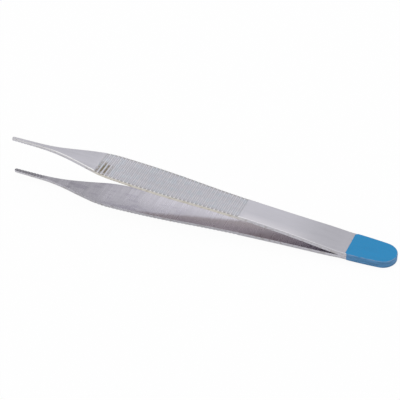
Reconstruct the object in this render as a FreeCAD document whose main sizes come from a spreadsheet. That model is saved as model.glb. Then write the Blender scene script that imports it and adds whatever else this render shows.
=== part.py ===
import FreeCAD, Part
import math
import os
import Sketcher

# Fine-tipped thumb forceps: two equal sprung steel strips, welded face to face at the rear,
# with cross grooves on the grips, serrated jaws and a thin blue coating on the welded end.
# While it is drawn, X runs from the tips to the welded end and Z = 0 is the plane where the
# arms meet. At the end the whole is tipped into the pose in which it lies on a table.

doc = FreeCAD.newDocument("ThumbForceps")
sheet = doc.addObject("Spreadsheet::Sheet", "Sizes")

SIZES = (
    ("arm_length", 119.9, "bare steel, from the tips to the welded end"),
    ("strip", 1.05, "thickness of the steel strip"),
    ("weld_length", 14.6, "flat rear end, up to where the arms start to part"),
    ("crotch_radius", 12.0, "bend where each arm leaves the flat end"),
    ("bow_radius", 700.0, "slow outward bow of the handle"),
    ("grip_rear", 77.467, "from the tip to the end of the straight grip, where the bow starts"),
    ("bend_radius", 150.0, "bend between the grip and the straight jaw"),
    ("jaw_straight", 18.2, "straight length of the jaw in the side view"),
    ("jaw_angle", 0.5, "rise of the jaw's back towards the grip, degrees"),
    ("tip_gap", 11.2, "opening between the two tips"),
    ("tip_thickness", 0.75, "strip forged thinner at the tip"),
    ("tip_width", 1.1, "width across the rounded tip"),
    ("jaw_slender", 8.3, "nearly parallel length of the jaw, seen from above"),
    ("jaw_flare", 0.7, "half angle of that length, degrees"),
    ("neck_radius", 47.0, "hollow between the jaw and the flank"),
    ("flank_angle", 14.4, "half angle of the flank, degrees"),
    ("shoulder_radius", 31.0, "round between the flank and the grip"),
    ("grip_width", 10.5, "widest place of the grip"),
    ("grip_middle", 43.0, "from the tip to that widest place"),
    ("waist_width", 8.45, "narrowest place of the handle"),
    ("waist_middle", 79.5, "from the tip to that narrowest place"),
    ("waist_radius", 378.0, "hollow of the waist"),
    ("end_width", 9.6, "widest place of the rear end"),
    ("end_middle", 103.6, "from the tip to that widest place"),
    ("edge_bevel", 0.2, "bevel along the outer edges"),
    ("groove_start", 29.5, "from the tip to the first grip groove"),
    ("groove_pitch", 1.223, "from one grip groove to the next, with a narrow ridge between them"),
    ("groove_count", 37, "grip grooves on each arm"),
    ("groove_depth", 0.26, "depth of a grip groove"),
    ("groove_floor", 0.33, "flat floor of a grip groove"),
    ("groove_angle", 130.0, "angle between a grip groove's walls, degrees"),
    ("tooth_start", 0.9, "from the tip to the first jaw serration"),
    ("tooth_pitch", 1.0, "from one jaw serration to the next"),
    ("tooth_count", 9, "serrations on each jaw"),
    ("tooth_depth", 0.3, "depth of a jaw serration"),
    ("tooth_angle", 90.0, "angle of a jaw serration, degrees"),
    ("coating", 0.1, "thickness of the blue coating"),
    ("coating_setback", 0.9, "from where the arms start to part back to the coating's front edge"),
    ("coating_corner", 1.0, "round of that front edge at both sides"),
    ("margin", 2.0, "how far the cutting outlines reach past the steel"),
)
for row, (alias, value, note) in enumerate(SIZES, start=1):
    sheet.set("A%d" % row, alias)
    sheet.set("B%d" % row, str(value))
    sheet.setAlias("B%d" % row, alias)
    sheet.set("C%d" % row, note)
doc.recompute()

START, END, CENTRE = 1, 2, 3
ORIGIN, X_AXIS, Y_AXIS = (-1, 1), -1, -2
BORROWED = -3
LEFT, UP, DOWN = math.pi, math.pi / 2, -math.pi / 2


def size(alias):
    """Value of a driving dimension."""
    return float(sheet.get(alias))


def point(x, y):
    return FreeCAD.Vector(x, y, 0)


def towards(angle):
    """Unit vector at an angle from the sketch's X axis."""
    return point(math.cos(angle), math.sin(angle))


def newSketch(body, name, role):
    """Empty sketch on one of the body's own origin planes."""
    plane = next(feature for feature in body.Origin.OriginFeatures if feature.Role == role)
    sketch = body.newObject("Sketcher::SketchObject", name)
    sketch.AttachmentSupport = (plane, [""])
    sketch.MapMode = "FlatFace"
    return sketch


def addLine(sketch, start, end, construction=False):
    return sketch.addGeometry(Part.LineSegment(start, end), construction)


def addArc(sketch, centre, radius, first, last):
    """Arc about a centre, anticlockwise from the first angle to the last."""
    circle = Part.Circle(centre, FreeCAD.Vector(0, 0, 1), radius)
    return sketch.addGeometry(Part.ArcOfCircle(circle, first, last), False)


def fix(sketch, kind, *where, size=None):
    """Adds a constraint. With a size, it takes its value from the sheet."""
    if size is None:
        sketch.addConstraint(Sketcher.Constraint(kind, *where))
        return
    value = sketch.evalExpression(size)
    if kind == "Angle":
        value = math.radians(value.getValueAs("deg").Value)
    number = sketch.addConstraint(Sketcher.Constraint(kind, *where, float(value)))
    sketch.setExpression("Constraints[%d]" % number, size)


def joinChain(sketch, kind, *joints):
    """Joins ends of the outline in pairs, each as geometry number and end."""
    for joint in joints:
        fix(sketch, kind, *joint)


def gripSlope(bendCentre, crotchCentre):
    """Fall of the straight grip, found by halving: the bow after it then ends on the crotch bend."""
    bend, bow, crotch = size("bend_radius"), size("bow_radius"), size("crotch_radius")
    level, steep, halvings = 0.0, math.radians(30), 50
    for _ in range(halvings):
        slope = (level + steep) / 2
        outward = towards(UP - slope)
        gripFront = bendCentre + outward * bend
        gripRear = gripFront + towards(-slope) * ((size("grip_rear") - gripFront.x) / math.cos(slope))
        if (gripRear - outward * bow).distanceToPoint(crotchCentre) < bow + crotch:
            level = slope
        else:
            steep = slope
    return slope


def sideProfile(body):
    """Closed outline of one arm seen from the side: the bent strip, thinner at the tip."""
    sketch = newSketch(body, "side_profile", "XZ_Plane")
    strip, tipGap, tip = size("strip"), size("tip_gap"), size("tip_thickness")
    lean = math.radians(size("jaw_angle"))
    bend, bow, crotch = size("bend_radius"), size("bow_radius"), size("crotch_radius")
    tipBottom = point(0, tipGap / 2)
    tipTop = point(0, tipGap / 2 + tip)
    jawEnd = tipTop + point(size("jaw_straight"), size("jaw_straight") * math.tan(lean))
    weldStart = point(size("arm_length") - size("weld_length"), strip)
    bendCentre = jawEnd - towards(UP + lean) * bend
    crotchCentre = weldStart + point(0, crotch)
    slope = gripSlope(bendCentre, crotchCentre)
    outward = towards(UP - slope)
    gripFront = bendCentre + outward * bend
    gripRear = gripFront + towards(-slope) * ((size("grip_rear") - gripFront.x) / math.cos(slope))
    # the bow rolls inside the grip's line and outside the crotch bend
    bowCentre = gripRear - outward * bow
    legSlope = math.atan2(crotchCentre.x - bowCentre.x, crotchCentre.y - bowCentre.y)
    inward = point(0, -strip)

    tipLine = addLine(sketch, tipBottom, tipTop)
    jawLine = addLine(sketch, tipTop, jawEnd)
    bendArc = addArc(sketch, bendCentre, bend, UP - slope, UP + lean)
    gripLine = addLine(sketch, gripFront, gripRear)
    bowArc = addArc(sketch, bowCentre, bow, UP - legSlope, UP - slope)
    crotchArc = addArc(sketch, crotchCentre, crotch, DOWN - legSlope, DOWN)
    weldLine = addLine(sketch, weldStart, point(size("arm_length"), strip))
    endLine = addLine(sketch, point(size("arm_length"), strip), point(size("arm_length"), 0))
    weldInner = addLine(sketch, point(size("arm_length"), 0), weldStart + inward)
    crotchInner = addArc(sketch, crotchCentre, crotch + strip, DOWN - legSlope, DOWN)
    bowInner = addArc(sketch, bowCentre, bow - strip, UP - legSlope, UP - slope)
    gripInner = addLine(sketch, gripRear - outward * strip, gripFront - outward * strip)
    bendInner = addArc(sketch, bendCentre, bend - strip, UP - slope, UP + lean)
    jawInner = addLine(sketch, jawEnd + inward, tipBottom)

    joinChain(sketch, "Coincident", (tipLine, END, jawLine, START), (weldLine, END, endLine, START),
              (endLine, END, weldInner, START), (jawInner, END, tipLine, START))
    joinChain(sketch, "Tangent", (jawLine, END, bendArc, END), (bendArc, START, gripLine, START),
              (gripLine, END, bowArc, END), (bowArc, START, crotchArc, START),
              (crotchArc, END, weldLine, START), (weldInner, END, crotchInner, END),
              (crotchInner, START, bowInner, START), (bowInner, END, gripInner, START),
              (gripInner, END, bendInner, START), (bendInner, END, jawInner, START))
    for outer, inner in ((bendArc, bendInner), (bowArc, bowInner), (crotchArc, crotchInner)):
        fix(sketch, "Coincident", inner, CENTRE, outer, CENTRE)
    fix(sketch, "Vertical", tipLine)
    fix(sketch, "Vertical", endLine)
    fix(sketch, "Horizontal", weldLine)
    fix(sketch, "Horizontal", weldInner)
    fix(sketch, "PointOnObject", tipLine, START, Y_AXIS)
    fix(sketch, "PointOnObject", endLine, END, X_AXIS)
    fix(sketch, "DistanceX", *ORIGIN, endLine, START, size="Sizes.arm_length")
    fix(sketch, "DistanceY", endLine, END, endLine, START, size="Sizes.strip")
    fix(sketch, "DistanceX", weldLine, START, weldLine, END, size="Sizes.weld_length")
    fix(sketch, "Radius", crotchArc, size="Sizes.crotch_radius")
    fix(sketch, "Radius", bowArc, size="Sizes.bow_radius")
    fix(sketch, "Radius", bendArc, size="Sizes.bend_radius")
    fix(sketch, "Angle", jawLine, size="Sizes.jaw_angle * 1 deg")
    fix(sketch, "DistanceX", *ORIGIN, gripLine, END, size="Sizes.grip_rear")
    fix(sketch, "DistanceX", *ORIGIN, jawLine, END, size="Sizes.jaw_straight")
    fix(sketch, "DistanceY", *ORIGIN, tipLine, START, size="Sizes.tip_gap / 2")
    fix(sketch, "DistanceY", tipLine, START, tipLine, END, size="Sizes.tip_thickness")
    return sketch


def widestPlace(sketch, arc, centre, reach, middle, halfWidth):
    """Sets where an arc of the plan is widest or narrowest, and how far out it is there."""
    rib = addLine(sketch, centre, centre + reach, True)
    fix(sketch, "Coincident", rib, START, arc, CENTRE)
    fix(sketch, "Vertical", rib)
    fix(sketch, "PointOnObject", rib, END, arc)
    fix(sketch, "DistanceX", *ORIGIN, arc, CENTRE, size=middle)
    fix(sketch, "DistanceY", *ORIGIN, rib, END, size=halfWidth)


def rearArcs(grow):
    """Centres, radii and meeting angle of the rear arc and the full round at the end."""
    halfWidth = size("end_width") / 2
    length = size("arm_length")
    waist = size("waist_radius")
    rise = halfWidth - size("waist_width") / 2
    run = size("end_middle") - size("waist_middle")
    rear = (run ** 2 + rise ** 2) / (2 * rise) - waist
    rearCentre = point(size("end_middle"), halfWidth - rear)
    back = length - rearCentre.x
    tail = (rear ** 2 - back ** 2 - rearCentre.y ** 2) / (2 * (rear - back))
    tailCentre = point(length - tail, 0)
    lean = math.atan2(tailCentre.x - rearCentre.x, tailCentre.y - rearCentre.y)
    return rearCentre, rear + grow, tailCentre, tail + grow, lean


def planOutline(body):
    """What is cut away beside the strip, seen from above, on the far side of the X axis."""
    sketch = newSketch(body, "plan_outline", "XY_Plane")
    length, margin = size("arm_length"), size("margin")
    tip, neck, waist = size("tip_width") / 2, size("neck_radius"), size("waist_radius")
    shoulder = size("shoulder_radius")
    flare, flank = math.radians(size("jaw_flare")), math.radians(size("flank_angle"))
    gripHalf, waistHalf = size("grip_width") / 2, size("waist_width") / 2
    top = gripHalf + margin
    jawEnd = point(size("jaw_slender"), tip + size("jaw_slender") * math.tan(flare))
    neckCentre = jawEnd + towards(UP + flare) * neck
    neckEnd = neckCentre + towards(DOWN + flank) * neck
    drop = gripHalf - waistHalf
    run = size("waist_middle") - size("grip_middle")
    grip = (run ** 2 + drop ** 2) / (2 * drop) - waist
    gripCentre = point(size("grip_middle"), gripHalf - grip)
    waistCentre = point(size("waist_middle"), waistHalf + waist)
    gripLean = math.atan2(run, waistCentre.y - gripCentre.y)
    rearCentre, rear, tailCentre, tail, tailLean = rearArcs(0)
    rearLean = math.atan2(rearCentre.x - waistCentre.x, waistCentre.y - rearCentre.y)
    # the shoulder rolls inside the grip arc and on the flank's line
    along, across = towards(flank), towards(flank + UP)
    depth = (neckEnd - gripCentre).dot(across) - shoulder
    reach = math.sqrt((grip - shoulder) ** 2 - depth ** 2)
    shoulderCentre = gripCentre + across * depth + along * reach
    shoulderTurn = math.atan2(shoulderCentre.y - gripCentre.y, shoulderCentre.x - gripCentre.x)

    tipArc = addArc(sketch, point(tip, 0), tip, UP + flare, LEFT)
    jawLine = addLine(sketch, point(tip, tip), jawEnd)
    neckArc = addArc(sketch, neckCentre, neck, DOWN + flare, DOWN + flank)
    flankLine = addLine(sketch, neckEnd, shoulderCentre + across * shoulder)
    shoulderArc = addArc(sketch, shoulderCentre, shoulder, shoulderTurn, UP + flank)
    gripArc = addArc(sketch, gripCentre, grip, UP - gripLean, shoulderTurn)
    waistArc = addArc(sketch, waistCentre, waist, DOWN - gripLean, DOWN + rearLean)
    rearArc = addArc(sketch, rearCentre, rear, UP - tailLean, UP + rearLean)
    tailArc = addArc(sketch, tailCentre, tail, 0, UP - tailLean)
    corners = (point(length, 0), point(length + margin, 0), point(length + margin, top),
               point(-margin, top), point(-margin, 0), point(0, 0))
    foot, rearWall, lid, frontWall, toe = [addLine(sketch, *ends) for ends in zip(corners, corners[1:])]

    joinChain(sketch, "Tangent", (tipArc, START, jawLine, START), (jawLine, END, neckArc, START),
              (neckArc, END, flankLine, START), (flankLine, END, shoulderArc, END),
              (shoulderArc, START, gripArc, END), (gripArc, START, waistArc, START),
              (waistArc, END, rearArc, END), (rearArc, START, tailArc, END))
    joinChain(sketch, "Coincident", (tailArc, START, foot, START), (foot, END, rearWall, START),
              (rearWall, END, lid, START), (lid, END, frontWall, START),
              (frontWall, END, toe, START), (toe, END, tipArc, END), (tipArc, END, *ORIGIN))
    for line in (foot, lid, toe):
        fix(sketch, "Horizontal", line)
    for line in (rearWall, frontWall):
        fix(sketch, "Vertical", line)
    for arc in (tipArc, tailArc):
        fix(sketch, "PointOnObject", arc, CENTRE, X_AXIS)
    fix(sketch, "PointOnObject", tailArc, START, X_AXIS)
    fix(sketch, "DistanceX", *ORIGIN, tailArc, START, size="Sizes.arm_length")
    fix(sketch, "DistanceX", foot, START, foot, END, size="Sizes.margin")
    fix(sketch, "DistanceX", toe, START, toe, END, size="Sizes.margin")
    fix(sketch, "DistanceY", *ORIGIN, lid, START, size="Sizes.grip_width / 2 + Sizes.margin")
    fix(sketch, "Radius", tipArc, size="Sizes.tip_width / 2")
    fix(sketch, "Angle", jawLine, size="Sizes.jaw_flare * 1 deg")
    fix(sketch, "DistanceX", *ORIGIN, jawLine, END, size="Sizes.jaw_slender")
    fix(sketch, "Radius", neckArc, size="Sizes.neck_radius")
    fix(sketch, "Angle", flankLine, size="Sizes.flank_angle * 1 deg")
    fix(sketch, "Radius", shoulderArc, size="Sizes.shoulder_radius")
    fix(sketch, "Radius", waistArc, size="Sizes.waist_radius")
    widestPlace(sketch, gripArc, gripCentre, point(0, grip), "Sizes.grip_middle", "Sizes.grip_width / 2")
    widestPlace(sketch, waistArc, waistCentre, point(0, -waist), "Sizes.waist_middle",
                "Sizes.waist_width / 2")
    widestPlace(sketch, rearArc, rearCentre, point(0, rear), "Sizes.end_middle", "Sizes.end_width / 2")
    return sketch


def gripGroove(body, profile):
    """First groove across the grip: a flat floor between two slanted walls, square to the grip."""
    sketch = newSketch(body, "grip_groove", "XZ_Plane")
    sketch.addExternal(profile.Name, "Edge4")
    gripFront, gripRear = profile.Geometry[3].StartPoint, profile.Geometry[3].EndPoint
    along = (gripRear - gripFront).normalize()
    outward = point(-along.y, along.x)
    depth, floor, pitch = size("groove_depth"), size("groove_floor"), size("groove_pitch")
    wall = 2 * depth * math.tan(math.radians(size("groove_angle") / 2))
    middle = gripFront + along * ((size("groove_start") - gripFront.x) / along.x)
    corners = [middle + outward * lift + along * reach for lift, reach in
               ((-depth, -floor / 2), (-depth, floor / 2), (depth, floor / 2 + wall), (depth, -floor / 2 - wall))]
    base, rear, top, front = [addLine(sketch, corners[k - 4], corners[k - 3]) for k in range(4)]
    row = addLine(sketch, middle, middle + along * pitch, True)
    spoke = addLine(sketch, middle, middle - outward * depth, True)
    joinChain(sketch, "Coincident", (base, END, rear, START), (rear, END, top, START),
              (top, END, front, START), (front, END, base, START), (spoke, START, row, START))
    fix(sketch, "PointOnObject", row, START, BORROWED)
    fix(sketch, "PointOnObject", row, END, BORROWED)
    fix(sketch, "DistanceX", *ORIGIN, row, START, size="Sizes.groove_start")
    fix(sketch, "Distance", row, size="Sizes.groove_pitch")
    fix(sketch, "Perpendicular", spoke, row)
    fix(sketch, "Distance", spoke, size="Sizes.groove_depth")
    fix(sketch, "PointOnObject", spoke, END, base)
    fix(sketch, "Symmetric", base, START, base, END, spoke)
    fix(sketch, "Symmetric", top, START, top, END, spoke)
    fix(sketch, "Distance", row, START, top, size="Sizes.groove_depth")
    fix(sketch, "Distance", base, size="Sizes.groove_floor")
    fix(sketch, "Distance", top,
        size="Sizes.groove_floor + 4 * Sizes.groove_depth * tan(Sizes.groove_angle * 1 deg / 2)")
    return sketch


def jawTooth(body, profile):
    """Rhomb across the jaw's inner face: its inner half cuts the first V of the serrations."""
    sketch = newSketch(body, "jaw_tooth", "XZ_Plane")
    sketch.addExternal(profile.Name, "Edge14")
    depth = size("tooth_depth")
    half = depth * math.tan(math.radians(size("tooth_angle") / 2))
    middle = point(size("tooth_start"), size("tip_gap") / 2)
    corners = [middle + point(*offset) for offset in ((-half, 0), (0, depth), (half, 0), (0, -depth))]
    sides = [addLine(sketch, corners[k - 4], corners[k - 3]) for k in range(4)]
    row = addLine(sketch, corners[0], corners[2], True)
    for k in range(4):
        fix(sketch, "Coincident", sides[k - 1], END, sides[k], START)
    fix(sketch, "Coincident", row, START, sides[0], START)
    fix(sketch, "Coincident", row, END, sides[2], START)
    fix(sketch, "PointOnObject", sides[0], START, BORROWED)
    fix(sketch, "PointOnObject", sides[2], START, BORROWED)
    fix(sketch, "Symmetric", sides[1], START, sides[3], START, BORROWED)
    fix(sketch, "Equal", sides[0], sides[1])
    fix(sketch, "DistanceX", *ORIGIN, sides[1], START, size="Sizes.tooth_start")
    fix(sketch, "Distance", sides[1], START, BORROWED, size="Sizes.tooth_depth")
    fix(sketch, "Distance", sides[0], START, sides[2], START,
        size="2 * Sizes.tooth_depth * tan(Sizes.tooth_angle * 1 deg / 2)")
    return sketch


def cutThrough(body, name, sketch):
    """Pocket that goes right through the strip on both sides of its sketch."""
    pocket = body.newObject("PartDesign::Pocket", name)
    pocket.Profile = sketch
    pocket.Type = "ThroughAll"
    pocket.SideType = "Symmetric"
    return pocket


def outerEdges(shape, side=1):
    """Names of the edges between a broad face, whose normal is on that side in Z, and the walls."""
    level, upright = 0.9, 0.1
    names = []
    for number, edge in enumerate(shape.Edges, start=1):
        middle = edge.valueAt((edge.FirstParameter + edge.LastParameter) / 2)
        rises = []
        for face in shape.ancestorsOfType(edge, Part.Face):
            rises.append(side * face.normalAt(*face.Surface.parameter(middle)).z)
        if len(rises) == 2 and max(rises) > level and abs(min(rises, key=abs)) < upright:
            names.append("Edge%d" % number)
    return names


def bevelOuterEdges(body, base):
    doc.recompute()
    bevel = body.newObject("PartDesign::Chamfer", "bevelled_edges")
    bevel.Base = (base, outerEdges(base.Shape))
    bevel.setExpression("Size", "Sizes.edge_bevel")


def mirrorAcross(body, feature):
    """Repeats a feature on the near side of the XZ plane."""
    mirrored = body.newObject("PartDesign::Mirrored", "both_sides")
    plane = next(item for item in body.Origin.OriginFeatures if item.Role == "XZ_Plane")
    mirrored.Originals = [feature]
    mirrored.MirrorPlane = (plane, [""])
    body.Tip = mirrored
    return mirrored


def makeArm(label):
    """One arm, drawn above the plane where the arms meet."""
    body = doc.addObject("PartDesign::Body", label)
    profile = sideProfile(body)
    blank = body.newObject("PartDesign::Pad", "bent_strip")
    blank.Profile = profile
    blank.SideType = "Symmetric"
    blank.setExpression("Length", "Sizes.grip_width + Sizes.margin")
    doc.recompute()
    side = cutThrough(body, "blanked_side", planOutline(body))
    doc.recompute()
    both = mirrorAcross(body, side)
    bevelOuterEdges(body, both)
    doc.recompute()
    grooveSketch = gripGroove(body, profile)
    groove = cutThrough(body, "first_groove", grooveSketch)
    doc.recompute()
    grooves = body.newObject("PartDesign::LinearPattern", "grooved_grip")
    grooves.Originals = [groove]
    grooves.Direction = (grooveSketch, ["Axis0"])
    grooves.Mode = "Spacing"
    grooves.setExpression("Offset", "Sizes.groove_pitch")
    grooves.setExpression("Occurrences", "Sizes.groove_count")
    body.Tip = grooves
    doc.recompute()
    toothSketch = jawTooth(body, profile)
    tooth = cutThrough(body, "first_tooth", toothSketch)
    doc.recompute()
    teeth = body.newObject("PartDesign::LinearPattern", "serrated_jaw")
    teeth.Originals = [tooth]
    teeth.Direction = (toothSketch, ["Axis0"])
    teeth.Mode = "Spacing"
    teeth.setExpression("Offset", "Sizes.tooth_pitch")
    teeth.setExpression("Occurrences", "Sizes.tooth_count")
    body.Tip = teeth
    doc.recompute()
    return body


def coatingOutline(body):
    """Far half of the dipped end seen from above, one coat wider and longer than the steel."""
    sketch = newSketch(body, "dipped_outline", "XY_Plane")
    coat, corner = size("coating"), size("coating_corner")
    rearCentre, rear, tailCentre, tail, tailLean = rearArcs(coat)
    front = size("arm_length") - size("weld_length") + size("coating_setback")
    reach = front + corner - rearCentre.x
    height = rearCentre.y + math.sqrt((rear - corner) ** 2 - reach ** 2)
    cornerCentre = point(front + corner, height)
    cornerLean = math.atan2(-reach, height - rearCentre.y)
    end = point(size("arm_length") + coat, 0)

    frontLine = addLine(sketch, point(front, 0), point(front, height))
    cornerArc = addArc(sketch, cornerCentre, corner, UP + cornerLean, LEFT)
    rearArc = addArc(sketch, rearCentre, rear, UP - tailLean, UP + cornerLean)
    tailArc = addArc(sketch, tailCentre, tail, 0, UP - tailLean)
    middleLine = addLine(sketch, end, point(front, 0))
    joinChain(sketch, "Tangent", (frontLine, END, cornerArc, END), (cornerArc, START, rearArc, END),
              (rearArc, START, tailArc, END))
    joinChain(sketch, "Coincident", (tailArc, START, middleLine, START),
              (middleLine, END, frontLine, START))
    fix(sketch, "Vertical", frontLine)
    fix(sketch, "Horizontal", middleLine)
    fix(sketch, "PointOnObject", frontLine, START, X_AXIS)
    fix(sketch, "PointOnObject", tailArc, CENTRE, X_AXIS)
    fix(sketch, "DistanceX", *ORIGIN, frontLine, START,
        size="Sizes.arm_length - Sizes.weld_length + Sizes.coating_setback")
    fix(sketch, "DistanceX", *ORIGIN, tailArc, START, size="Sizes.arm_length + Sizes.coating")
    fix(sketch, "Radius", cornerArc, size="Sizes.coating_corner")
    fix(sketch, "DistanceX", *ORIGIN, rearArc, CENTRE, size="Sizes.end_middle")
    fix(sketch, "Radius", rearArc,
        size="((Sizes.end_middle - Sizes.waist_middle)^2 + ((Sizes.end_width - Sizes.waist_width) / 2)^2)"
             " / (Sizes.end_width - Sizes.waist_width) - Sizes.waist_radius + Sizes.coating")
    widest = addLine(sketch, rearCentre, rearCentre + point(0, rear), True)
    fix(sketch, "Coincident", widest, START, rearArc, CENTRE)
    fix(sketch, "Vertical", widest)
    fix(sketch, "PointOnObject", widest, END, rearArc)
    fix(sketch, "DistanceY", *ORIGIN, widest, END, size="Sizes.end_width / 2 + Sizes.coating")
    return sketch


def makeCoating(label, arms):
    """Thin skin all round the welded end: a rounded block with both arms taken out of it."""
    body = doc.addObject("PartDesign::Body", "dipped_end")
    block = body.newObject("PartDesign::Pad", "dipped_half")
    block.Profile = coatingOutline(body)
    block.SideType = "Symmetric"
    block.setExpression("Length", "2 * (Sizes.strip + Sizes.coating)")
    doc.recompute()
    both = mirrorAcross(body, block)
    doc.recompute()
    fillet = body.newObject("PartDesign::Fillet", "rounded_coat")
    fillet.Base = (both, outerEdges(both.Shape) + outerEdges(both.Shape, -1))
    fillet.setExpression("Radius", "Sizes.edge_bevel + Sizes.coating")
    doc.recompute()
    skin = body
    for arm, name in zip(arms, ("coat_around_lower_arm", label)):
        rest = doc.addObject("Part::Cut", name)
        rest.Base = skin
        rest.Tool = arm
        skin = rest
    doc.recompute()
    return body, skin


def turnsLeft(a, b, c):
    return (b[0] - a[0]) * (c[1] - a[1]) - (b[1] - a[1]) * (c[0] - a[0]) > 0


def restPose(shapes):
    """Lays the parts on a level table: tips them until the grip of the lower arm and the welded
    end touch it, and puts the origin under the middle of their box."""
    samples = 12
    spots = sorted((spot.x, spot.z) for shape in shapes for edge in shape.Edges
                   for spot in edge.discretize(samples))
    underside = []
    for spot in spots:
        while len(underside) > 1 and not turnsLeft(underside[-2], underside[-1], spot):
            underside.pop()
        underside.append(spot)
    whole = Part.makeCompound(shapes)
    balance = whole.CenterOfGravity.x
    grip, end = next(pair for pair in zip(underside, underside[1:]) if pair[0][0] <= balance <= pair[1][0])
    pitch = math.degrees(math.atan2(end[1] - grip[1], end[0] - grip[0]))
    turned = FreeCAD.Placement(FreeCAD.Vector(), FreeCAD.Rotation(FreeCAD.Vector(0, 1, 0), pitch))
    whole.Placement = turned
    box = whole.optimalBoundingBox(False, False)
    shift = FreeCAD.Vector(-box.Center.x, -box.Center.y, -box.ZMin)
    print("rests on the grip at %.1f and the end at %.1f, balance %.1f, tipped %.2f degrees"
          % (grip[0], end[0], balance, pitch))
    return FreeCAD.Placement(shift, FreeCAD.Rotation(FreeCAD.Vector(0, 1, 0), pitch))


upperArm = makeArm("upper_arm")
lowerArm = makeArm("lower_arm")
turnedOver = FreeCAD.Placement(FreeCAD.Vector(), FreeCAD.Rotation(FreeCAD.Vector(1, 0, 0), 180))
lowerArm.Placement = turnedOver
dippedEnd, coating = makeCoating("blue_end_coating", (lowerArm, upperArm))
resting = restPose([upperArm.Shape, lowerArm.Shape, coating.Shape])
upperArm.Placement = resting
lowerArm.Placement = resting.multiply(turnedOver)
dippedEnd.Placement = resting
doc.recompute()

subParts = (upperArm, lowerArm, coating)
for item in doc.Objects:
    if "Invalid" in item.State or "Error" in item.State:
        raise RuntimeError("%s could not be built" % item.Label)
os.makedirs("parts", exist_ok=True)
for part in subParts:
    shape = part.Shape
    if shape.isNull() or not shape.isValid() or len(shape.Solids) != 1:
        raise RuntimeError("%s is not one sound solid" % part.Label)
    shape.exportStep("parts/%s.step" % part.Label)
    print("%s %.1f mm3" % (part.Label, shape.Volume))
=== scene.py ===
import math
import bpy
import bmesh
from mathutils import Matrix, Vector


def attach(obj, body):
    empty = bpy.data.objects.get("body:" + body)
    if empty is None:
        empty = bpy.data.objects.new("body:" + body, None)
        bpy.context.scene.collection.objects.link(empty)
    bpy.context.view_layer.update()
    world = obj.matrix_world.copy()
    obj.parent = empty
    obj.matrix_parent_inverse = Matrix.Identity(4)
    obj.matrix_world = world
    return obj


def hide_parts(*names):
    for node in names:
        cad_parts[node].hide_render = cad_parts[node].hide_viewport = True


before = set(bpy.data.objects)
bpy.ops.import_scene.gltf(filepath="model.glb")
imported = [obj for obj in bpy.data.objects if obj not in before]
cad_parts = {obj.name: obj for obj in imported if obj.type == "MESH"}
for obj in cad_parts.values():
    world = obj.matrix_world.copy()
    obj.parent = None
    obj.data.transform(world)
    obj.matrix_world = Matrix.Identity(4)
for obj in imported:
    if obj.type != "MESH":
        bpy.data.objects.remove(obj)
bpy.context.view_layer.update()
print("stage: frame loaded")

mm = 0.001

# sizes in millimetres, drawn with X from the tips to the welded end and Z = 0 where the arms meet
armShape = {
    "length": 119.9,
    "strip": 1.05,
    "tipGap": 11.2,
    "tipThickness": 0.75,
    "jawStraight": 18.2,
    "jawAngle": 0.5,
    "bendRadius": 150.0,
    "gripSlope": 3.5,
    "bowRadius": 700.0,
    "crotchRadius": 12.0,
    "weldLength": 14.6,
    "tipWidth": 1.1,
    "jawSlender": 8.3,
    "jawFlare": 0.7,
    "neckRadius": 47.0,
    "flankAngle": 14.4,
    "shoulderRadius": 31.0,
    "gripWidth": 10.5,
    "gripMiddle": 43.0,
    "waistWidth": 8.45,
    "waistMiddle": 79.5,
    "waistRadius": 378.0,
    "endWidth": 9.6,
    "endMiddle": 103.6,
    "outerRound": 0.2,
    "innerRound": 0.07,
}
grooveShape = {
    "start": 29.5,
    "pitch": 1.223,
    "count": 37,
    "depth": 0.26,
    "floor": 0.33,
    "angle": 130.0,
    "floorRound": 0.08,
    "crestRound": 0.03,
    "ringSteps": (0.0, 0.1, 0.165, 0.25, 0.36, 0.47, 0.54, 0.58),  # rings of points, from a groove's middle
    "runOutSteps": (0.6115, 0.66, 0.69, 0.71, 0.73, 0.76),         # rings past the first and last groove
}
toothShape = {
    "start": 0.9,
    "pitch": 1.0,
    "count": 9,
    "depth": 0.17,
    "halfWidth": 0.32,
    "rootRound": 0.04,
}
ringLayout = {
    "tipRings": 10,
    "tailRings": 28,
    "grooveGap": 0.05,                  # between the grooves' rings and the plain steel's
    "jawSpacing": 0.7,
    "handleSpacing": 0.9,
    "endGap": 0.4,
    "endSpacing": 0.8,
    "tailGap": 0.2,
    "across": (0.0, 0.25, 0.5, 0.75),   # points across the faces, as shares of the half width
    "roundMargin": 0.03,                # from a round to the nearest point of its face
    "roundLimit": 0.85,                 # but not closer to the middle than this share
    "wallMargin": 0.02,
    "outerRoundSteps": 6,
    "innerRoundSteps": 3,
    "slopeStep": 0.01,
}
meshLimits = {
    "armWeld": 2e-7,                    # metres
    "armSliver": 1e-7,
    "armSharp": 40,                     # degrees
    "coatWeld": 1e-7,
    "coatSharp": 35,
}
restPose = {
    "tilt": 3.1982817,                  # degrees about +Y, tips up
    "shift": (-59.75893, 0.0, 7.82693),
}


def restMatrix():
    turn = Matrix.Rotation(math.radians(restPose["tilt"]), 4, "Y")
    return Matrix.Translation(Vector(restPose["shift"]) * mm) @ turn


def arcHeight(centre, radius, x, side=1):
    return centre[1] + side * math.sqrt(max(radius ** 2 - (x - centre[0]) ** 2, 0.0))


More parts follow.
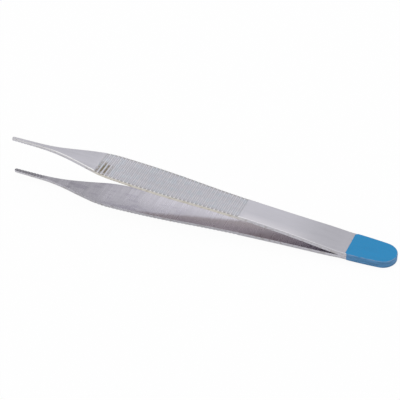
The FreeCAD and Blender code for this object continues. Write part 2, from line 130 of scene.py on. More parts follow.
def sideCurves():
    # outer and inner height of one arm over x: jaw, bend, straight grip, bow, crotch bend, flat end
    a = armShape
    lean, slope = math.radians(a["jawAngle"]), math.radians(a["gripSlope"])
    strip, bend, bow, crotch = a["strip"], a["bendRadius"], a["bowRadius"], a["crotchRadius"]
    jawEnd = (a["jawStraight"], a["tipGap"] / 2 + a["tipThickness"] + a["jawStraight"] * math.tan(lean))
    bendCentre = (jawEnd[0] + bend * math.sin(lean), jawEnd[1] - bend * math.cos(lean))
    outward, along = Vector((math.sin(slope), math.cos(slope))), Vector((math.cos(slope), -math.sin(slope)))
    gripFront = Vector(bendCentre) + outward * bend
    weldStart = a["length"] - a["weldLength"]
    crotchCentre = Vector((weldStart, strip + crotch))
    lift = (crotchCentre - gripFront).dot(outward)
    back = math.sqrt((bow + crotch) ** 2 - (bow + lift) ** 2)
    gripRear = gripFront + along * ((crotchCentre - gripFront).dot(along) - back)
    bowCentre = gripRear - outward * bow
    legEnd = crotchCentre + (bowCentre - crotchCentre).normalized() * crotch
    innerLeg = crotchCentre + (bowCentre - crotchCentre).normalized() * (crotch + strip)
    innerRear, innerFront = gripRear - outward * strip, gripFront - outward * strip

    def outer(x):
        if x <= jawEnd[0]:
            return jawEnd[1] - (jawEnd[0] - x) * math.tan(lean)
        if x <= gripFront.x:
            return arcHeight(bendCentre, bend, x)
        if x <= gripRear.x:
            return gripFront.y - (x - gripFront.x) * math.tan(slope)
        if x <= legEnd.x:
            return arcHeight(bowCentre, bow, x)
        if x <= weldStart:
            return arcHeight(crotchCentre, crotch, x, -1)
        return strip

    # the jaw's inner side is one straight line from the tip, tangent to the inside of the bend
    toTip = Vector((-bendCentre[0], a["tipGap"] / 2 - bendCentre[1]))
    turn = math.atan2(toTip.y, toTip.x) - math.acos((bend - strip) / toTip.length)
    jawInner = Vector(bendCentre) + Vector((math.cos(turn), math.sin(turn))) * (bend - strip)

    def inner(x):
        if x <= jawInner.x:
            return a["tipGap"] / 2 + (jawInner.y - a["tipGap"] / 2) * x / jawInner.x
        if x <= innerFront.x:
            return arcHeight(bendCentre, bend - strip, x)
        if x <= innerRear.x:
            return innerFront.y - (x - innerFront.x) * math.tan(slope)
        if x <= innerLeg.x:
            return arcHeight(bowCentre, bow - strip, x)
        if x <= weldStart:
            return max(arcHeight(crotchCentre, crotch + strip, x, -1), 0.0)
        return 0.0

    return outer, inner


def planCurve():
    # half width of the strip over x, seen from above: arcs and lines that meet tangentially
    a = armShape
    tip, neck, shoulder, waist = a["tipWidth"] / 2, a["neckRadius"], a["shoulderRadius"], a["waistRadius"]
    flare, flank = math.radians(a["jawFlare"]), math.radians(a["flankAngle"])
    gripHalf, waistHalf, endHalf = a["gripWidth"] / 2, a["waistWidth"] / 2, a["endWidth"] / 2
    tipEnd = tip - tip * math.sin(flare)
    jawHalf = tip + a["jawSlender"] * math.tan(flare)
    tipSide = tip * math.cos(flare)
    neckCentre = Vector((a["jawSlender"] - neck * math.sin(flare), jawHalf + neck * math.cos(flare)))
    neckEnd = neckCentre + Vector((math.sin(flank), -math.cos(flank))) * neck
    run, drop = a["waistMiddle"] - a["gripMiddle"], gripHalf - waistHalf
    grip = (run ** 2 + drop ** 2) / (2 * drop) - waist
    gripCentre = Vector((a["gripMiddle"], gripHalf - grip))
    waistCentre = Vector((a["waistMiddle"], waistHalf + waist))
    gripEnd = gripCentre.x + run * grip / (grip + waist)
    along, across = Vector((math.cos(flank), math.sin(flank))), Vector((-math.sin(flank), math.cos(flank)))
    depth = (neckEnd - gripCentre).dot(across) - shoulder
    reach = math.sqrt((grip - shoulder) ** 2 - depth ** 2)
    shoulderCentre = gripCentre + across * depth + along * reach
    if shoulderCentre.x > gripCentre.x:
        shoulderCentre -= along * 2 * reach
    flankEnd = shoulderCentre.x + across.x * shoulder
    shoulderEnd = gripCentre.x + (shoulderCentre - gripCentre).normalized().x * grip
    rise, back = endHalf - waistHalf, a["endMiddle"] - a["waistMiddle"]
    rear = (back ** 2 + rise ** 2) / (2 * rise) - waist
    rearCentre = Vector((a["endMiddle"], endHalf - rear))
    waistEnd = waistCentre.x + back * waist / (rear + waist)
    last = a["length"] - rearCentre.x
    tail = (rear ** 2 - last ** 2 - rearCentre.y ** 2) / (2 * (rear - last))
    tailCentre = Vector((a["length"] - tail, 0.0))
    tailStart = rearCentre.x + (tailCentre - rearCentre).normalized().x * rear

    def half(x):
        if x < tipEnd:
            return arcHeight((tip, 0.0), tip, x)
        if x < a["jawSlender"]:
            return tipSide + (x - tipEnd) * (jawHalf - tipSide) / (a["jawSlender"] - tipEnd)
        if x < neckEnd.x:
            return arcHeight(neckCentre, neck, x, -1)
        if x < flankEnd:
            return neckEnd.y + (x - neckEnd.x) * math.tan(flank)
        if x < shoulderEnd:
            return arcHeight(shoulderCentre, shoulder, x)
        if x < gripEnd:
            return arcHeight(gripCentre, grip, x)
        if x < waistEnd:
            return arcHeight(waistCentre, waist, x, -1)
        if x < tailStart:
            return arcHeight(rearCentre, rear, x)
        return arcHeight(tailCentre, tail, x)

    return half, tail


outerHeight, innerHeight = sideCurves()
halfWidth, tailRadius = planCurve()


def ramp(distance, width):
    # 0 before, distance after, and a smooth bend within a width of 0
    if distance <= -width:
        return 0.0
    if distance >= width:
        return distance
    return (distance + width) ** 2 / (4 * width)


def grooveCut(distance):
    # how far below the grip's plain face a single groove lies, at a distance from its middle
    g = grooveShape
    rise = 1 / math.tan(math.radians(g["angle"] / 2))
    return g["depth"] - rise * ramp(abs(distance) - g["floor"] / 2, g["floorRound"])


def grooveDrop(number, step):
    # depth at a step from the middle of a numbered groove, with the ridge to its neighbour rounded
    g = grooveShape
    own = grooveCut(step)
    outside = (number == 0 and step < 0) or (number == g["count"] - 1 and step > 0)
    other = 0.0 if outside else grooveCut(g["pitch"] - abs(step))
    low, high = min(own, other), max(own, other)
    return max(low + ramp(high - low, g["crestRound"]), 0.0)


def grooveStations():
    # x and depth of every ring of points on the grooved grip
    g = grooveShape
    around = sorted({side * step for step in g["ringSteps"] for side in (-1, 1)})
    runOut = g["runOutSteps"]
    slope = math.cos(math.radians(armShape["gripSlope"]))
    places = [(0, -step) for step in reversed(runOut)]
    for number in range(g["count"]):
        places += [(number, step) for step in around]
        if number < g["count"] - 1:
            places.append((number, g["pitch"] / 2))
    places += [(g["count"] - 1, step) for step in runOut]
    return [(g["start"] + (number * g["pitch"] + step) * slope, grooveDrop(number, step))
            for number, step in places]


def toothStations():
    # x and depth of every ring of points on the serrated jaw
    t = toothShape
    root, half, rise = t["rootRound"], t["halfWidth"], t["depth"] / t["halfWidth"]
    steps = (0.0, root, half / 2, half - root, half, half + root)
    places = []
    for number in range(t["count"]):
        for step in sorted({side * step for step in steps for side in (-1, 1)}):
            drop = max(t["depth"] - rise * ramp(abs(step), root), 0.0)
            places.append((t["start"] + number * t["pitch"] + step, drop))
    return places


def evenly(first, last, step):
    count = max(1, round((last - first) / step))
    return [first + (last - first) * k / count for k in range(count + 1)]


def roundEndPlaces(radius, count):
    # places where a round end of that radius needs a ring, closer together towards its tip
    return [radius * (1 - math.cos(math.pi / 2 * k / count)) for k in range(count + 1)]


def armStations():
    # every place along the arm where a ring of points goes: x, groove depth outside, tooth depth inside
    layout, length = ringLayout, armShape["length"]
    rings = {}
    for x in roundEndPlaces(armShape["tipWidth"] / 2, layout["tipRings"]):
        rings[round(x, 5)] = [0.0, 0.0]
    for back in roundEndPlaces(tailRadius, layout["tailRings"]):
        rings[round(length - back, 5)] = [0.0, 0.0]
    grooves = grooveStations()
    for x, drop in grooves:
        rings[round(x, 5)] = [drop, 0.0]
    for x, drop in toothStations():
        rings.setdefault(round(x, 5), [0.0, 0.0])[1] = drop
    lastTooth = toothShape["start"] + (toothShape["count"] - 0.5) * toothShape["pitch"]
    weldStart = length - armShape["weldLength"]
    fill = evenly(lastTooth, grooves[0][0] - layout["grooveGap"], layout["jawSpacing"])
    fill += evenly(grooves[-1][0] + layout["grooveGap"], weldStart, layout["handleSpacing"])
    tailStart = length - tailRadius
    fill += evenly(weldStart + layout["endGap"], tailStart - layout["tailGap"], layout["endSpacing"])
    for x in fill:
        rings.setdefault(round(x, 5), [0.0, 0.0])
    return [(x, *rings[x]) for x in sorted(rings)]


def tipRound(x):
    # the outer face rolls down over the last bit before the tip
    r = armShape["outerRound"]
    return r - math.sqrt(r ** 2 - (r - x) ** 2) if x < r else 0.0


def armRing(x, drop, bite):
    # half a ring of points round the strip, from the middle of the outer face to that of the inner one:
    # x, y, z, zone (0 outer face, 1 wall, 2 inner face), millimetres in from the side edge
    layout, length = ringLayout, armShape["length"]
    top = outerHeight(x) - tipRound(x)
    step = layout["slopeStep"]
    slope = (outerHeight(min(x + step, length)) - outerHeight(max(x - step, 0.0))) / (2 * step)
    squareX = x + slope * armShape["strip"]
    bent = armShape["jawStraight"] < x < length - armShape["weldLength"]
    xInner = squareX if bent else x
    bottom = innerHeight(xInner)
    half, halfInner = halfWidth(x), halfWidth(xInner)
    r, q = min(armShape["outerRound"], half), min(armShape["innerRound"], halfInner)
    upper = [(share * half, top) for share in layout["across"]]
    upper.append((max(half - r - layout["roundMargin"], layout["roundLimit"] * half), top))
    for k in range(layout["outerRoundSteps"] + 1):
        turn = math.pi / 2 * k / layout["outerRoundSteps"]
        upper.append((half - r + r * math.sin(turn), top - r + r * math.cos(turn)))
    floor = outerHeight(x) - drop / math.cos(math.radians(armShape["gripSlope"]))
    points = [(x, y, min(z, floor), 0, half - y) for y, z in upper]
    points.append((x, half, min(top - r, floor) - layout["wallMargin"], 1, 0.0))
    points.append((xInner, halfInner, bottom + q + layout["wallMargin"], 1, 0.0))
    for k in range(layout["innerRoundSteps"] + 1):
        turn = math.pi / 2 * k / layout["innerRoundSteps"]
        points.append((xInner, halfInner - q + q * math.cos(turn), bottom + q - q * math.sin(turn),
                       1 if k == 0 else 2, q - q * math.cos(turn)))
    innermost = max(halfInner - q - layout["roundMargin"], layout["roundLimit"] * halfInner)
    points.append((xInner, innermost, bottom, 2, q))
    for share in reversed(layout["across"]):
        points.append((xInner, share * halfInner, bottom, 2, (1 - share) * halfInner))
    return [(px, py, max(pz, bottom + bite) if zone else pz, zone, edge)
            for px, py, pz, zone, edge in points]


def buildArm(name, turned):
    mesh = bpy.data.meshes.new(name)
    build = bmesh.new()
    edgeLayer = build.verts.layers.float.new("edgeMm")
    cutLayer = build.verts.layers.float.new("cutMm")
    place = restMatrix()
    if turned:
        place = place @ Matrix.Rotation(math.pi, 4, "X")
    rings = []
    for x, drop, bite in armStations():
        half = armRing(x, drop, bite)
        ring = []
        for px, py, pz, zone, edge in half + [(px, -py, *rest) for px, py, *rest in half[-2:0:-1]]:
            vert = build.verts.new(place @ (Vector((px, py, pz)) * mm))
            vert[edgeLayer] = edge
            vert[cutLayer] = drop if zone == 0 else bite
            ring.append((vert, zone))
        rings.append(ring)
    for first, second in zip(rings, rings[1:]):
        for k in range(len(first)):
            corners = [first[k - 1], first[k], second[k], second[k - 1]]
            face = build.faces.new([vert for vert, zone in corners])
            face.material_index = sorted(zone for vert, zone in corners)[1]
            face.smooth = True
    bmesh.ops.remove_doubles(build, verts=build.verts, dist=meshLimits["armWeld"])
    bmesh.ops.dissolve_degenerate(build, edges=build.edges, dist=meshLimits["armSliver"])
    bmesh.ops.recalc_face_normals(build, faces=build.faces)
    build.to_mesh(mesh)
    build.free()
    mesh.set_sharp_from_angle(angle=math.radians(meshLimits["armSharp"]))
    piece = bpy.data.objects.new(name, mesh)
    bpy.context.scene.collection.objects.link(piece)
    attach(piece, "root")
    return piece


def buildCoat(name):
    # the dipped skin as it is packed, with its seams welded so that its rounds shade smoothly
    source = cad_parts["blue_end_coating"].data
    mesh = source.copy()
    mesh.name = name
    build = bmesh.new()
    build.from_mesh(mesh)
    bmesh.ops.remove_doubles(build, verts=build.verts, dist=meshLimits["coatWeld"])
    for face in build.faces:
        face.smooth = True
    build.to_mesh(mesh)
    build.free()
    mesh.set_sharp_from_angle(angle=math.radians(meshLimits["coatSharp"]))
    piece = bpy.data.objects.new(name, mesh)
    bpy.context.scene.collection.objects.link(piece)
    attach(piece, "root")
    return piece


upperArm = buildArm("upper_arm_steel", False)
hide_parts("upper_arm")
lowerArm = buildArm("lower_arm_steel", True)
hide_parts("lower_arm")
endCoat = buildCoat("blue_end_skin")
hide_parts("blue_end_coating")
print("stage: arms and coat built,", len(upperArm.data.polygons), "faces each arm")


def setInputs(tree, node, values):
    # joins sockets and sets plain numbers on a node's inputs, by name or number
    for key, value in values.items():
        if isinstance(value, bpy.types.NodeSocket):
            tree.links.new(value, node.inputs[key])
        else:
            node.inputs[key].default_value = value
    return node


def calc(tree, operation, first, second=0.0):
    node = tree.nodes.new("ShaderNodeMath")
    node.operation = operation
    return setInputs(tree, node, {0: first, 1: second}).outputs[0]


def fade(tree, value, start, end, low=0.0, high=1.0):
    # smooth step of a value, from low at start to high at end
    node = tree.nodes.new("ShaderNodeMapRange")
    node.interpolation_type = "SMOOTHSTEP"
    return setInputs(tree, node, {0: value, 1: start, 2: end, 3: low, 4: high}).outputs[0]


def tint(tree, factor, first, second, mode="MIX"):
    node = tree.nodes.new("ShaderNodeMix")
    node.data_type = "RGBA"
    node.blend_type = mode
    first = (*first, 1) if isinstance(first, tuple) else first
    second = (*second, 1) if isinstance(second, tuple) else second
    return setInputs(tree, node, {0: factor, 6: first, 7: second}).outputs[2]


def timesColour(tree, mask, colour, factor):
    # the colour multiplied by a factor where the mask is 1
    return tint(tree, mask, colour, tint(tree, 1.0, colour, factor, "MULTIPLY"))


def product(tree, *values):
    # all the values multiplied together
    total = values[0]
    for value in values[1:]:
        total = calc(tree, "MULTIPLY", total, value)
    return total


def noise(tree, place, stretch, detail=2.0, roughness=0.5):
    # noise whose grain is longer along the axes with a small stretch value
    scaled = tree.nodes.new("ShaderNodeVectorMath")
    scaled.operation = "MULTIPLY"
    setInputs(tree, scaled, {0: place, 1: stretch})
    node = tree.nodes.new("ShaderNodeTexNoise")
    return setInputs(tree, node, {"Vector": scaled.outputs[0], "Scale": 1.0, "Detail": detail,
                                  "Roughness": roughness}).outputs[0]


def patches(tree, place, stretch, detail, *limits):
    # noise turned into soft patches: limits are start, end and, if not 0 and 1, low and high
    return fade(tree, noise(tree, place["Place"], stretch, detail), *limits)


def newGroup(name, inputs, outputs):
    group = bpy.data.node_groups.new(name, "ShaderNodeTree")
    for label, kind, value in inputs:
        socket = group.interface.new_socket(name=label, in_out="INPUT", socket_type=kind)
        if value is not None:
            socket.default_value = value
    for label, kind in outputs:
        group.interface.new_socket(name=label, in_out="OUTPUT", socket_type=kind)
    return group, group.nodes.new("NodeGroupOutput").inputs


def drawnPlaceGroup():
    # where a point lies on the forceps, in millimetres, along the drawn axes
    outputs = [("Place", "NodeSocketVector")]
    outputs += [(label, "NodeSocketFloat") for label in ("Along", "Across", "Up")]
    group, result = newGroup("drawnPlace", [], outputs)
    coords = group.nodes.new("ShaderNodeTexCoord")
    turn = group.nodes.new("ShaderNodeMapping")
    turn.vector_type = "TEXTURE"
    setInputs(group, turn, {"Vector": coords.outputs["Object"],
                            "Location": [v * mm for v in restPose["shift"]],
                            "Rotation": (0.0, math.radians(restPose["tilt"]), 0.0)})
    scaled = group.nodes.new("ShaderNodeVectorMath")
    scaled.operation = "SCALE"
    setInputs(group, scaled, {0: turn.outputs[0], "Scale": 1 / mm})
    parts = group.nodes.new("ShaderNodeSeparateXYZ")
    setInputs(group, parts, {0: scaled.outputs[0]})
    group.links.new(scaled.outputs[0], result["Place"])
    for label, part in (("Along", "X"), ("Across", "Y"), ("Up", "Z")):
        group.links.new(parts.outputs[part], result[label])
    return group


grainPattern = {
    "fineDetail": 3.0,
    "fineRoughness": 0.6,
    "broadStretch": 0.16,               # times the stretch of the fine scratches
    "broadDetail": 2.0,
    "broadRoughness": 0.5,
    "strength": 2.0,
    "usualRange": (0.3, 0.7),           # what the broad streaks seldom leave
}


def brushGrainGroup():
    # fine scratches of one direction over broader cloudy streaks of the same direction
    p = grainPattern
    group, result = newGroup(
        "brushGrain",
        [("Place", "NodeSocketVector", None), ("Stretch", "NodeSocketVector", (0.2, 6.0, 6.0)),
         ("Fine", "NodeSocketFloat", 0.06), ("Broad", "NodeSocketFloat", 0.08)],
        [("Shade", "NodeSocketFloat"), ("Height", "NodeSocketFloat"), ("Patch", "NodeSocketFloat")])
    given = group.nodes.new("NodeGroupInput").outputs
    fine = noise(group, given["Place"], given["Stretch"], p["fineDetail"], p["fineRoughness"])
    wider = group.nodes.new("ShaderNodeVectorMath")
    wider.operation = "SCALE"
    setInputs(group, wider, {0: given["Stretch"], "Scale": p["broadStretch"]})
    broad = noise(group, given["Place"], wider.outputs[0], p["broadDetail"], p["broadRoughness"])
    fineShade = calc(group, "MULTIPLY", calc(group, "SUBTRACT", fine, 0.5), given["Fine"])
    broadShade = calc(group, "MULTIPLY", calc(group, "SUBTRACT", broad, 0.5), given["Broad"])
    total = calc(group, "ADD", fineShade, broadShade)
    shade = calc(group, "ADD", calc(group, "MULTIPLY", total, p["strength"]), 1.0)
    group.links.new(shade, result["Shade"])
    group.links.new(fine, result["Height"])
    group.links.new(broad, result["Patch"])
    return group


edgeHighlightPattern = {
    "stretch": (0.9, 2.0, 2.0),
    "detail": 3.0,
    "fadeOut": (1.2, 0.4),              # shares of the width, from no painted highlight to full painted highlight
}


def edgeHighlightMaskGroup():
    # painted highlight mask: 1 along an edge, 0 away from it, broken up by small noise
    p = edgeHighlightPattern
    group, result = newGroup(
        "edgeHighlightMask",
        [("Place", "NodeSocketVector", None), ("Distance", "NodeSocketFloat", 1.0),
         ("Width", "NodeSocketFloat", 0.2), ("Break Up", "NodeSocketFloat", 0.3)],
        [("Mask", "NodeSocketFloat")])
    given = group.nodes.new("NodeGroupInput").outputs
    rough = noise(group, given["Place"], p["stretch"], p["detail"])
    shift = calc(group, "MULTIPLY", calc(group, "SUBTRACT", rough, 0.5), given["Break Up"])
    share = calc(group, "DIVIDE", given["Distance"], given["Width"])
    group.links.new(fade(group, calc(group, "ADD", share, shift), *p["fadeOut"]), result["Mask"])
    return group


drawnPlace = drawnPlaceGroup()
brushGrain = brushGrainGroup()
edgeHighlightMask = edgeHighlightMaskGroup()


def placeGroup(tree, group, values):
    node = tree.nodes.new("ShaderNodeGroup")
    node.node_tree = group
    return setInputs(tree, node, values).outputs


def readValue(tree, name):
    node = tree.nodes.new("ShaderNodeAttribute")
    node.attribute_name = name
    return node.outputs["Fac"]


def newMaterial(name, roughness, metallic):
    material = bpy.data.materials.new(name)
    material.use_nodes = True
    shader = material.node_tree.nodes["Principled BSDF"]
    shader.inputs["Roughness"].default_value = roughness
    shader.inputs["Metallic"].default_value = metallic
    return material, material.node_tree, shader


def addBump(tree, shader, height, distance, strength):
    bump = tree.nodes.new("ShaderNodeBump")
    setInputs(tree, bump, {"Height": height, "Distance": distance * mm, "Strength": strength})
    tree.links.new(bump.outputs[0], shader.inputs["Normal"])


def finishSurface(tree, shader, colour, grain, look):
    # joins the colour, and lets the grain vary the roughness and raise the surface a little
    tree.links.new(colour, shader.inputs["Base Color"])
    smoother, rougher = look["roughnessSpread"]
    rough = fade(tree, grain["Patch"], *grainPattern["usualRange"],
                 look["roughness"] - smoother, look["roughness"] + rougher)
    tree.links.new(rough, shader.inputs["Roughness"])
    addBump(tree, shader, grain["Height"], *look["bump"])


def shadeAlong(tree, along, stops):
    # a grey that changes smoothly from stop to stop along the forceps: (place in millimetres, grey)
    scale = tree.nodes.new("ShaderNodeValToRGB")
    scale.color_ramp.interpolation = "EASE"
    marks = scale.color_ramp.elements
    while len(marks) < len(stops):
        marks.new(0.5)
    for mark, (place, grey) in zip(marks, stops):
        mark.position = place / armShape["length"]
        mark.color = (grey, grey, grey, 1)
    return setInputs(tree, scale, {0: calc(tree, "DIVIDE", along, armShape["length"])}).outputs[0]


# colours as linear values, places in millimetres along the arm
faceLook = {
    "steel": (0.985, 0.970, 1.045),     # hue, times the shades along the arm
    "shades": ((0, 0.50), (12, 0.49), (27, 0.465), (28.6, 0.475), (29.4, 0.62), (50, 0.60), (73.6, 0.62),
               (74.4, 0.47), (86, 0.455), (100, 0.395), (119, 0.415)),
    # painted highlight colour along the side edges
    "edgeHighlightColour": (0.86, 0.85, 0.83),
    "edgeWidth": 0.30,
    "edgeBreakUp": 0.6,
    "edgeCut": (0.2, 0.08),             # the painted highlight line stops where a groove is this deep
    "edgeAlong": (72.0, 77.0, 0.75, 0.18),  # strong up to the first place, weak after the second
    "handleSheen": (1.14, 1.13, 1.11),         # times the steel, a painted sheen along one edge of the handle
    "handleSheenAcross": (-1.0, -4.0),
    "handleSheenStart": (74.0, 76.0),
    "handleSheenEnd": (104.0, 88.0),
    "groovedCut": (0.0, 0.03),
    "crestHighlight": (1.13, 1.12, 1.04),        # times the steel, painted highlight along the ridges
    "crestCut": (0.13, 0.06),
    "crestPatches": ((0.8, 0.5, 0.5), 3.0, 0.35, 0.6),
    "valleyShade": (0.798, 0.8, 0.788),      # times the steel, painted shade at the bottom of a groove
    "valleyCut": (0.1, 0.24),
    "grooveTint": (0.965, 1.02, 1.03),        # times the steel, in cloudy patches on the grip
    "grooveTintPatches": ((0.45, 0.55, 0.55), 3.0, 0.45, 0.7),
    "stain": (0.40, 0.33, 0.20),        # times the steel, in the front grooves
    "stainAlong": (34.2, 31.6),
    "stainAcross": (1.6, -0.8),
    "stainCut": (0.15, 0.25),
    "stainUp": (-0.5, 0.5),             # the upper arm alone
    "stainPatches": ((0.5, 0.8, 0.5), 3.0, 0.3, 0.55),
    "notchShade": (0.74, 0.72, 0.68),        # times the steel, painted shade where a groove runs out at the edge
    "notchEdge": (0.75, 0.25),
    "notchCut": (0.14, 0.24),
    "grain": {"Stretch": (0.25, 5.0, 5.0), "Fine": 0.05, "Broad": 0.09},
    "roughness": 0.36,
    "roughnessSpread": (0.04, 0.06),
    "bump": (0.004, 0.35),              # millimetres, strength
}


def faceMaterial():
    look = faceLook
    material, tree, shader = newMaterial("satinFace", look["roughness"], 1.0)
    place = placeGroup(tree, drawnPlace, {})
    grain = placeGroup(tree, brushGrain, {"Place": place["Place"], **look["grain"]})
    cut, edge = readValue(tree, "cutMm"), readValue(tree, "edgeMm")
    colour = tint(tree, 1.0, shadeAlong(tree, place["Along"], look["shades"]), look["steel"], "MULTIPLY")
    colour = tint(tree, 1.0, colour, grain["Shade"], "MULTIPLY")
    # painted sheen: the handle is painted brighter towards one edge
    handleSheen = product(tree, fade(tree, place["Across"], *look["handleSheenAcross"]),
                   fade(tree, place["Along"], *look["handleSheenStart"]),
                   fade(tree, place["Along"], *look["handleSheenEnd"]))
    colour = timesColour(tree, handleSheen, colour, look["handleSheen"])
    # painted highlight along the ridges and painted shade at the bottom of the grooves; the grooves also
    # get a blue-green tint in cloudy patches
    grooved = fade(tree, cut, *look["groovedCut"])
    ridgePatches = patches(tree, place, *look["crestPatches"])
    ridge = product(tree, grooved, fade(tree, cut, *look["crestCut"]), ridgePatches)
    colour = timesColour(tree, ridge, colour, look["crestHighlight"])
    colour = timesColour(tree, fade(tree, cut, *look["valleyCut"]), colour, look["valleyShade"])
    grooveTint = product(tree, patches(tree, place, *look["grooveTintPatches"]), grooved)
    colour = timesColour(tree, grooveTint, colour, look["grooveTint"])
    # brown residue in the near half of the front grooves of the upper arm
    stain = product(tree, fade(tree, place["Along"], *look["stainAlong"]),
                    fade(tree, place["Across"], *look["stainAcross"]), fade(tree, cut, *look["stainCut"]),
                    fade(tree, place["Up"], *look["stainUp"]), patches(tree, place, *look["stainPatches"]))
    colour = timesColour(tree, stain, colour, look["stain"])
    # painted shade where a groove runs out at the side edge
    notchShade = product(tree, fade(tree, edge, *look["notchEdge"]), fade(tree, cut, *look["notchCut"]))
    colour = timesColour(tree, notchShade, colour, look["notchShade"])
    # painted highlight: the side edge is painted bright, less so behind the grip
    highlightMask = placeGroup(tree, edgeHighlightMask, {"Place": place["Place"], "Distance": edge,
                                       "Width": look["edgeWidth"], "Break Up": look["edgeBreakUp"]})
    highlighted = product(tree, highlightMask["Mask"], fade(tree, cut, *look["edgeCut"]),
                   fade(tree, place["Along"], *look["edgeAlong"]))
    colour = tint(tree, highlighted, colour, look["edgeHighlightColour"])
    finishSurface(tree, shader, colour, grain, look)
    return material


wallLook = {
    "steel": (0.60, 0.59, 0.63),
    "paintedFloorReflection": (0.70, 0.665, 0.60),        # painted reflection of the floor, brighter and warmer, along the upper arm's grip
    "gripStart": (26.0, 31.0),
    "gripEnd": (78.0, 70.0),
    "gripUp": (0.0, 1.0),
    "spot": (0.80, 0.78, 0.74),         # times the steel, in small dull spots
    "spotPatches": ((0.9, 0.9, 1.6), 2.0, 0.52, 0.64),
    "grain": {"Stretch": (0.5, 5.0, 7.0), "Fine": 0.08, "Broad": 0.12},
    "roughness": 0.42,
    "roughnessSpread": (0.05, 0.05),
    "bump": (0.006, 0.4),
}


def wallMaterial():
    look = wallLook
    material, tree, shader = newMaterial("shearedWall", look["roughness"], 1.0)
    place = placeGroup(tree, drawnPlace, {})
    grain = placeGroup(tree, brushGrain, {"Place": place["Place"], **look["grain"]})
    # painted reflection of the floor on the upper arm's wall along the grip
    grip = product(tree, fade(tree, place["Along"], *look["gripStart"]),
                   fade(tree, place["Along"], *look["gripEnd"]), fade(tree, place["Up"], *look["gripUp"]))
    colour = tint(tree, grip, look["steel"], look["paintedFloorReflection"])
    colour = tint(tree, 1.0, colour, grain["Shade"], "MULTIPLY")
    colour = timesColour(tree, patches(tree, place, *look["spotPatches"]), colour, look["spot"])
    finishSurface(tree, shader, colour, grain, look)
    return material


innerLook = {
    "steel": (1.005, 0.975, 1.06),      # hue, times the shades along the arm
    "shades": ((0, 0.26), (9, 0.28), (11.5, 0.37), (24, 0.385), (34, 0.52), (50, 0.64), (70, 0.67),
               (120, 0.60)),
    "crotchShade": (0.62, 0.57, 0.55),      # times the steel, in a painted wedge of shade and dark reflection towards the crotch
    "crotchShadeStart": 45.0,               # where it starts at one edge
    "crotchShadeWidening": 0.2,             # how fast it widens along the arm
    "crotchShadeInset": 0.5,                # from the edge, where it starts
    "crotchShadeRagged": 1.2,
    "crotchShadeFade": (1.7, -0.1),
    "crotchShadeThins": (78.0, 98.0, 1.0, 0.3),  # full up to the first place, thin after the second
    "smudge": (0.86, 0.85, 0.88),       # times the steel, in long dull patches
    "smudgePatches": ((0.16, 0.55, 0.4), 3.0, 0.48, 0.62),
    "smudgeEnd": (62.0, 46.0),
    "grain": {"Stretch": (4.0, 0.22, 0.5), "Fine": 0.08, "Broad": 0.10},
    "roughness": 0.24,
    "roughnessSpread": (0.05, 0.06),
    "bump": (0.004, 0.4),
}


def innerMaterial():
    look = innerLook
    material, tree, shader = newMaterial("groundInside", look["roughness"], 1.0)
    place = placeGroup(tree, drawnPlace, {})
    grain = placeGroup(tree, brushGrain, {"Place": place["Place"], **look["grain"]})
    colour = tint(tree, 1.0, shadeAlong(tree, place["Along"], look["shades"]), look["steel"], "MULTIPLY")
    colour = tint(tree, 1.0, colour, grain["Shade"], "MULTIPLY")
    smudges = product(tree, patches(tree, place, *look["smudgePatches"]),
                      fade(tree, place["Along"], *look["smudgeEnd"]))
    colour = timesColour(tree, smudges, colour, look["smudge"])
    # painted shade and dark reflection: a brown wedge starts at one edge of the grip, widens over the
    # handle and thins at the crotch
    behind = calc(tree, "SUBTRACT", place["Along"], look["crotchShadeStart"])
    reach = calc(tree, "MULTIPLY", behind, look["crotchShadeWidening"])
    border = calc(tree, "SUBTRACT", reach, armShape["gripWidth"] / 2 - look["crotchShadeInset"])
    shift = calc(tree, "MULTIPLY", grain["Patch"], look["crotchShadeRagged"])
    ragged = calc(tree, "ADD", place["Across"], shift)
    crotchShade = fade(tree, calc(tree, "SUBTRACT", ragged, border), *look["crotchShadeFade"])
    thinning = fade(tree, place["Along"], *look["crotchShadeThins"])
    colour = timesColour(tree, calc(tree, "MULTIPLY", crotchShade, thinning), colour, look["crotchShade"])
    finishSurface(tree, shader, colour, grain, look)
    return material


coatLook = {
    "blue": (0.014, 0.232, 0.484),
    # painted shading: the walls' own paler, greyer blue
    "side": (0.087, 0.242, 0.446),
    "sideLevel": (0.25, 0.9),           # upright share of the surface's normal, from side to top
    "sideStreaks": ((0.35, 0.35, 2.6), 2.0, 0.35, 0.65, 0.80, 1.12),
    # painted highlight colour along the rounded long edges
    "edgeHighlightColour": (0.32, 0.34, 0.44),
    "edgeLow": (0.45, 0.7),
    "edgeHigh": (0.98, 0.85),
    "edgePatches": ((0.5, 1.0, 1.0), 3.0, 0.35, 0.6),
    "edgeStrength": 0.7,
    "grain": {"Stretch": (0.6, 2.4, 3.0), "Fine": 0.04, "Broad": 0.08},
    "roughness": 0.38,
    "roughnessSpread": (0.05, 0.07),
    "bump": (0.012, 0.3),
    "specular": 0.2,
}


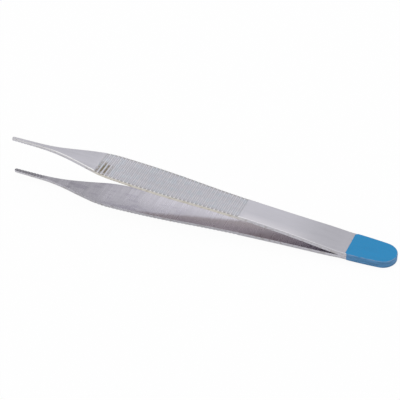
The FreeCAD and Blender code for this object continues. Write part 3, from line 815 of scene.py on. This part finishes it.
def coatMaterial():
    look = coatLook
    material, tree, shader = newMaterial("blueDip", look["roughness"], 0.0)
    shader.inputs["Specular IOR Level"].default_value = look["specular"]
    place = placeGroup(tree, drawnPlace, {})
    grain = placeGroup(tree, brushGrain, {"Place": place["Place"], **look["grain"]})
    geometry = tree.nodes.new("ShaderNodeNewGeometry")
    facing = tree.nodes.new("ShaderNodeSeparateXYZ")
    tree.links.new(geometry.outputs["Normal"], facing.inputs[0])
    level = calc(tree, "ABSOLUTE", facing.outputs["Z"])
    # painted shading: the walls get a paler, greyer, streaked blue, chosen by how upright the normal is
    side = tint(tree, 1.0, look["side"], patches(tree, place, *look["sideStreaks"]), "MULTIPLY")
    colour = tint(tree, fade(tree, level, *look["sideLevel"]), side, look["blue"])
    colour = tint(tree, 1.0, colour, grain["Shade"], "MULTIPLY")
    # painted highlight along the rounded long edges, where the normal is half upright
    edgeHighlightLine = product(tree, fade(tree, level, *look["edgeLow"]), fade(tree, level, *look["edgeHigh"]),
                       patches(tree, place, *look["edgePatches"]), look["edgeStrength"])
    colour = tint(tree, edgeHighlightLine, colour, look["edgeHighlightColour"])
    finishSurface(tree, shader, colour, grain, look)
    return material


armMaterials = (faceMaterial(), wallMaterial(), innerMaterial())
for piece in (upperArm, lowerArm):
    for material in armMaterials:
        piece.data.materials.append(material)
endCoat.data.materials.clear()
endCoat.data.materials.append(coatMaterial())
print("stage: materials placed")


cameraView = {
    "azimuth": 23.059,
    "elevation": 39.083,
    "distance": 505.1,
    "target": (59.56, 2.235, -0.04),
    "lens": 157.18,
    "roll": 0.229,
    "sensorWidth": 36,
    "clipStart": 0.01,                  # metres
    "clipEnd": 20,
}


def placeCamera():
    v = cameraView
    a, e = math.radians(v["azimuth"]), math.radians(v["elevation"])
    back = Vector((math.sin(a) * math.cos(e), -math.cos(a) * math.cos(e), math.sin(e)))
    right = Vector((math.cos(a), math.sin(a), 0))
    up = back.cross(right)
    roll = math.radians(v["roll"])
    right, up = right * math.cos(roll) + up * math.sin(roll), up * math.cos(roll) - right * math.sin(roll)
    axes = Matrix((right, up, back)).transposed().to_4x4()
    spot = (Vector(v["target"]) + back * v["distance"]) * mm
    data = bpy.data.cameras.new("photoCamera")
    data.sensor_width = v["sensorWidth"]
    data.sensor_fit = "HORIZONTAL"
    data.lens = v["lens"]
    data.clip_start = v["clipStart"]
    data.clip_end = v["clipEnd"]
    camera = bpy.data.objects.new("photoCamera", data)
    camera.matrix_world = restMatrix() @ Matrix.Translation(spot) @ axes
    bpy.context.scene.collection.objects.link(camera)
    bpy.context.scene.camera = camera


studio = {
    "floorColour": (0.86, 0.86, 0.86),
    "floorSize": 6.0,                   # metres
    "floorRoughness": 0.9,
    "whiteToCamera": 0.95,
    "whiteToSteel": 0.22,
    "worldColour": (0.98, 0.98, 1.0),
    "worldStrength": 0.80,
    "lampSpot": (-0.15, 0.25, 0.9),     # metres
    "lampSize": 0.8,
    "lampPower": 2.5,                   # watts
}


def buildFloor():
    mesh = bpy.data.meshes.new("studioFloor")
    s = studio["floorSize"] / 2
    mesh.from_pydata([(-s, -s, 0), (s, -s, 0), (s, s, 0), (-s, s, 0)], [], [(0, 1, 2, 3)])
    floor = bpy.data.objects.new("studioFloor", mesh)
    bpy.context.scene.collection.objects.link(floor)
    material, tree, shader = newMaterial("palePaper", studio["floorRoughness"], 0.0)
    shader.inputs["Base Color"].default_value = (*studio["floorColour"], 1)
    glow = tree.nodes.new("ShaderNodeEmission")
    setInputs(tree, glow, {"Color": (1, 1, 1, 1), "Strength": 1.0})
    path = tree.nodes.new("ShaderNodeLightPath")
    seen = calc(tree, "MULTIPLY", path.outputs["Is Camera Ray"], studio["whiteToCamera"])
    mirrored = calc(tree, "MAXIMUM", path.outputs["Is Glossy Ray"], path.outputs["Is Transmission Ray"])
    share = calc(tree, "MAXIMUM", seen, calc(tree, "MULTIPLY", mirrored, studio["whiteToSteel"]))
    mix = tree.nodes.new("ShaderNodeMixShader")
    setInputs(tree, mix, {0: share, 1: shader.outputs[0], 2: glow.outputs[0]})
    tree.links.new(mix.outputs[0], tree.nodes["Material Output"].inputs["Surface"])
    mesh.materials.append(material)


def buildWorld():
    world = bpy.data.worlds.new("studioWorld")
    world.use_nodes = True
    bpy.context.scene.world = world
    background = world.node_tree.nodes["Background"]
    background.inputs["Color"].default_value = (*studio["worldColour"], 1)
    background.inputs["Strength"].default_value = studio["worldStrength"]


def addLamp():
    data = bpy.data.lights.new("softTop", "AREA")
    data.shape = "SQUARE"
    data.size = studio["lampSize"]
    data.energy = studio["lampPower"]
    lamp = bpy.data.objects.new("softTop", data)
    lamp.location = studio["lampSpot"]
    lamp.rotation_euler = (-Vector(studio["lampSpot"])).to_track_quat("-Z", "Y").to_euler()
    bpy.context.scene.collection.objects.link(lamp)


placeCamera()
buildFloor()
buildWorld()
addLamp()
bpy.context.scene.view_settings.view_transform = "Standard"
print("stage: camera and studio placed")

bpy.context.view_layer.update()
